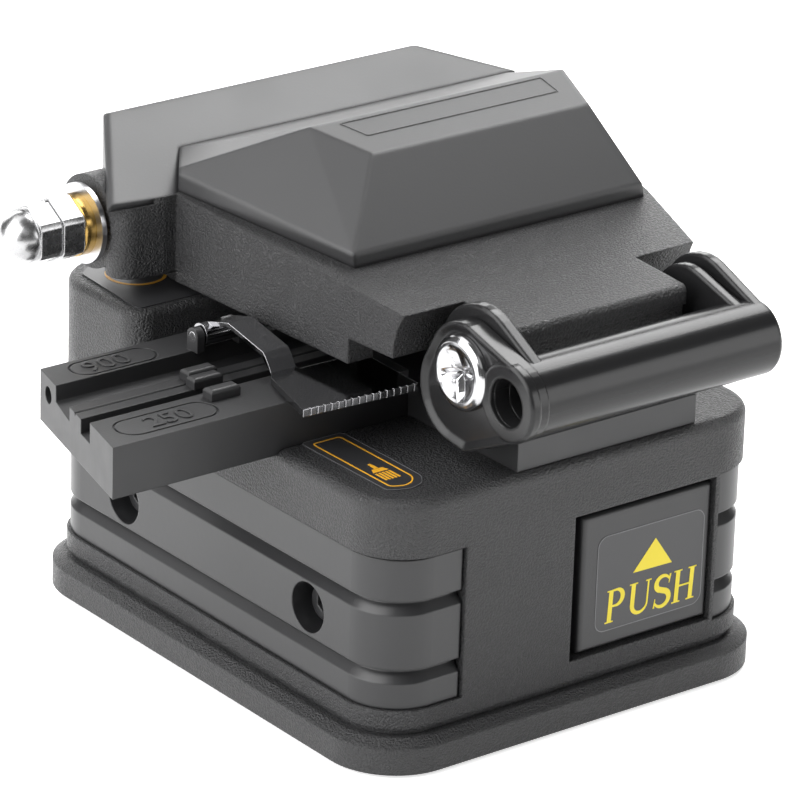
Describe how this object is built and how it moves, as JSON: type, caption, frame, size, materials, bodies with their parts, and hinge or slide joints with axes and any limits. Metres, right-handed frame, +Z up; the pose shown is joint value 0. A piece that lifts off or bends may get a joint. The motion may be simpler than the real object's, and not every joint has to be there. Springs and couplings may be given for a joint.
{
  "type": "fibre cleaver",
  "caption": "Bench optical fibre cleaver: hinged clamp lid with pull handle, sliding blade carriage with push button, side fibre guide with spring clip.",
  "frame": {"origin": "centre of the foot, on the plane of the rubber sole", "axes": "+Z up, -Y the front with the push button, +X right as seen from the front; the fibre guide sticks out at -X"},
  "size_m": [0.0929, 0.0833, 0.0659],
  "materials": {
    "cast_black": "fine-textured powder coat",
    "panel_black": "satin",
    "cap_black": "smooth satin",
    "guide_black": "matt black anodised",
    "handle_black": "gloss moulded",
    "button_black": "fine grain",
    "chrome": "bright plated",
    "steel": "ground",
    "carbide": "ground carbide",
    "brass": "turned",
    "rubber": "matt",
    "sticker": "printed film"
  },
  "bodies": {
    "base": {"base_plate": "cast_black", "rubber_sole": "rubber", "base_screws": "steel", "body_casting": "cast_black", "side_panel_left": "panel_black", "side_panel_right": "panel_black", "panel_screws": "steel", "linear_rail": "steel", "rail_screws": "steel", "rear_stop": "steel", "stop_rod": "steel", "return_spring": "steel", "clamp_base": "guide_black", "clamp_base_screws": "steel", "lower_clamp_pads": "rubber", "lid_bumpers": "rubber", "fibre_guide": "guide_black", "fibre_rests": "guide_black", "guide_screws": "steel", "clip_pin": "chrome", "top_label": "sticker", "rear_label": "sticker", "hinge_lugs": "cast_black", "hinge_shaft": "steel", "hex_nut": "chrome", "acorn_nut": "chrome"},
    "slider": {"slide_block": "steel", "blade_arm": "steel", "blade_pin": "steel", "push_button": "button_black", "push_label": "sticker", "button_screw": "steel"},
    "blade": {"blade_wheel": "carbide"},
    "lid": {"lid_frame": "cast_black", "lid_cap": "cap_black", "cap_screws": "steel", "rear_cover": "cap_black", "upper_clamps": "steel", "upper_clamp_pads": "rubber", "handle_screws": "chrome", "brass_bush": "brass", "hinge_ring": "steel"},
    "anvil": {"anvil": "steel"},
    "handle": {"handle": "handle_black"},
    "clip": {"fibre_clip": "chrome"}
  },
  "joints": [
    {"name": "lid_hinge", "type": "hinge", "parent": "base", "child": "lid", "pos_m": [0, 0.028, 0.052], "axis": [-1, 0, 0], "range_deg": [0, 90]},
    {"name": "handle_pivot", "type": "hinge", "parent": "lid", "child": "handle", "pos_m": [0, -0.0315, 0.0489], "axis": [-1, 0, 0], "range_deg": [0, 30]},
    {"name": "push_slide", "type": "slide", "parent": "base", "child": "slider", "axis": [0, 1, 0], "range_m": [0, 0.018], "stiffness_N_per_m": 120, "springref_m": -0.004, "deforming": ["return_spring"]},
    {"name": "blade_turn", "type": "hinge", "parent": "slider", "child": "blade", "pos_m": [0.00435, -0.011, 0.0318], "axis": [1, 0, 0], "continuous": true},
    {"name": "clip_hinge", "type": "hinge", "parent": "base", "child": "clip", "pos_m": [-0.0256, 0.006, 0.0437], "axis": [-1, 0, 0], "range_deg": [0, 6]},
    {"name": "anvil_slide", "type": "slide", "parent": "lid", "child": "anvil", "axis": [0, 0, 1], "range_m": [0, 0.0012], "stiffness_N_per_m": 500, "springref_m": -0.0005}
  ]
}
